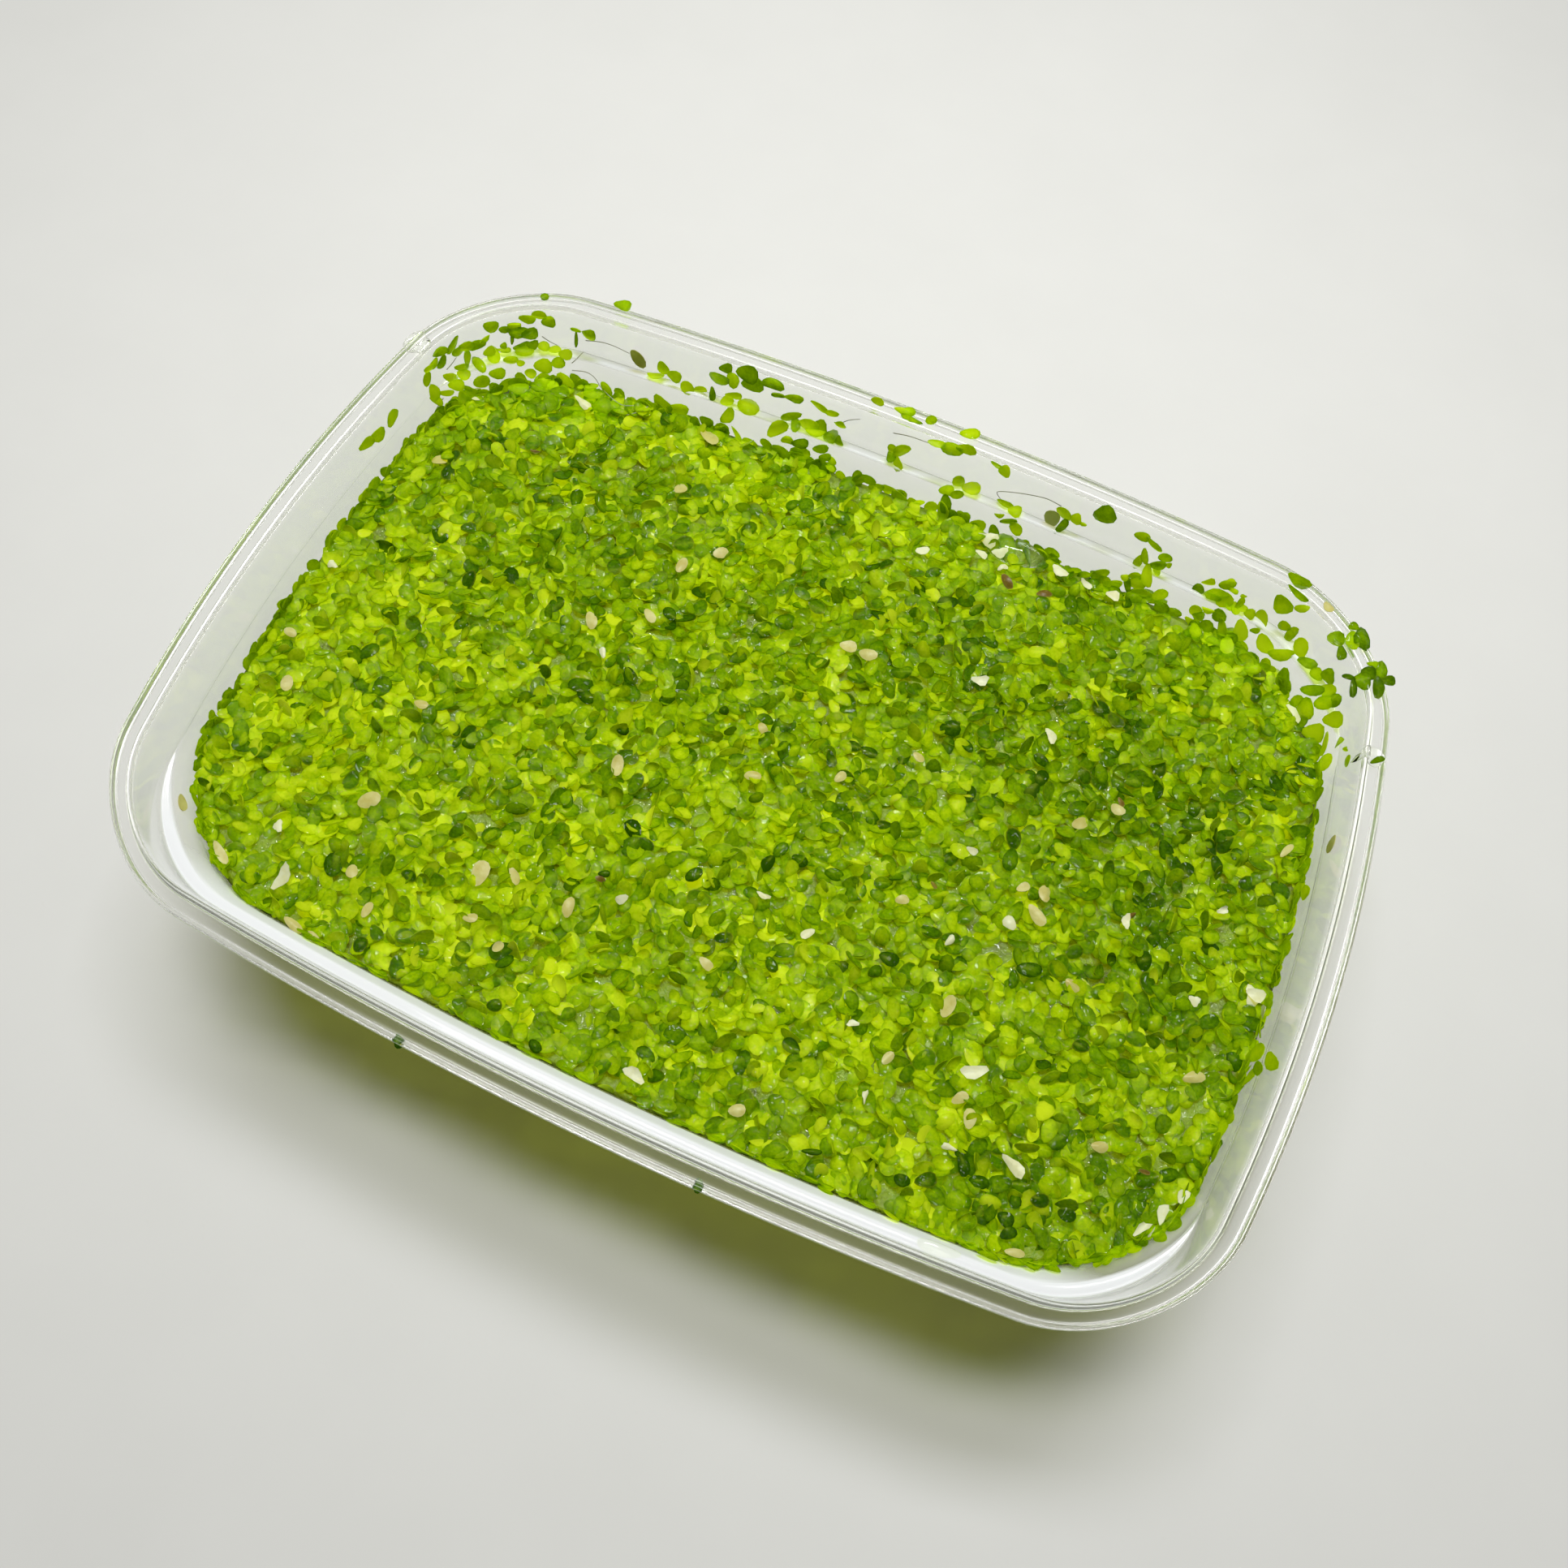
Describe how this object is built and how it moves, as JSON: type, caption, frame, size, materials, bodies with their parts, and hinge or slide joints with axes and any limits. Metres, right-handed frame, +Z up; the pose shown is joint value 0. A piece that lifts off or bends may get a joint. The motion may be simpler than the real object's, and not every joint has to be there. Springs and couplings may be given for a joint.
{
  "type": "duckweed",
  "caption": "Floating duckweed: a dense mat of tiny bright green fronds covering the water in a clear rounded plastic tub, with stray fronds stuck to its walls and rim.",
  "frame": {"origin": "middle of the tub's flat base, on the surface it rests on", "axes": "+X along the tub's long side, +Y across it towards the side that carries most of the stray fronds, +Z up"},
  "size_m": [0.179, 0.13, 0.051],
  "materials": {
    "clear_plastic": "clear, slightly milky",
    "pond_water": "clear, faint yellow-green",
    "duckweed_leaf": "wet, translucent",
    "duckweed_leaf_dark": "wet",
    "duckweed_leaf_bleached": "dead, papery, wet"
  },
  "bodies": {
    "root": {"bleached_frond_far": "duckweed_leaf_bleached", "bleached_frond_right": "duckweed_leaf_bleached", "bright_pair": "duckweed_leaf", "clump_fronds": "duckweed_leaf", "corner_fronds_bright": "duckweed_leaf", "corner_fronds_dark": "duckweed_leaf_dark", "corner_fronds_lower": "duckweed_leaf", "corner_fronds_upper": "duckweed_leaf", "dark_oval_frond": "duckweed_leaf_dark", "duckweed_mat": "duckweed_leaf", "far_cluster_upper": "duckweed_leaf", "far_edge_pair": "duckweed_leaf", "far_left_fronds": "duckweed_leaf", "far_right_trio": "duckweed_leaf", "four_frond_star": "duckweed_leaf", "frond_chain": "duckweed_leaf", "frond_group": "duckweed_leaf", "half_bleached_fronds": "duckweed_leaf_bleached", "left_end_fronds": "duckweed_leaf", "mid_far_fronds": "duckweed_leaf", "olive_pair": "duckweed_leaf", "right_corner_bright": "duckweed_leaf", "right_corner_cluster": "duckweed_leaf", "right_corner_top": "duckweed_leaf", "right_edge_bulge": "duckweed_leaf", "right_end_fronds": "duckweed_leaf", "right_end_small": "duckweed_leaf", "right_far_cluster": "duckweed_leaf", "right_far_small": "duckweed_leaf", "rim_drop_left": "pond_water", "rim_drop_right": "pond_water", "rim_frond_dark": "duckweed_leaf", "rim_frond_green": "duckweed_leaf", "rim_frond_small": "duckweed_leaf", "rim_fronds_inner": "duckweed_leaf", "rim_fronds_outer": "duckweed_leaf", "rolled_clump": "duckweed_leaf", "rooted_frond": "duckweed_leaf", "small_frond_with_root": "duckweed_leaf", "thin_fronds": "duckweed_leaf", "three_lobed_frond": "duckweed_leaf", "tub": "clear_plastic", "upper_far_fronds": "duckweed_leaf", "wall_drop_near": "pond_water", "water": "pond_water"}
  },
  "joints": []
}
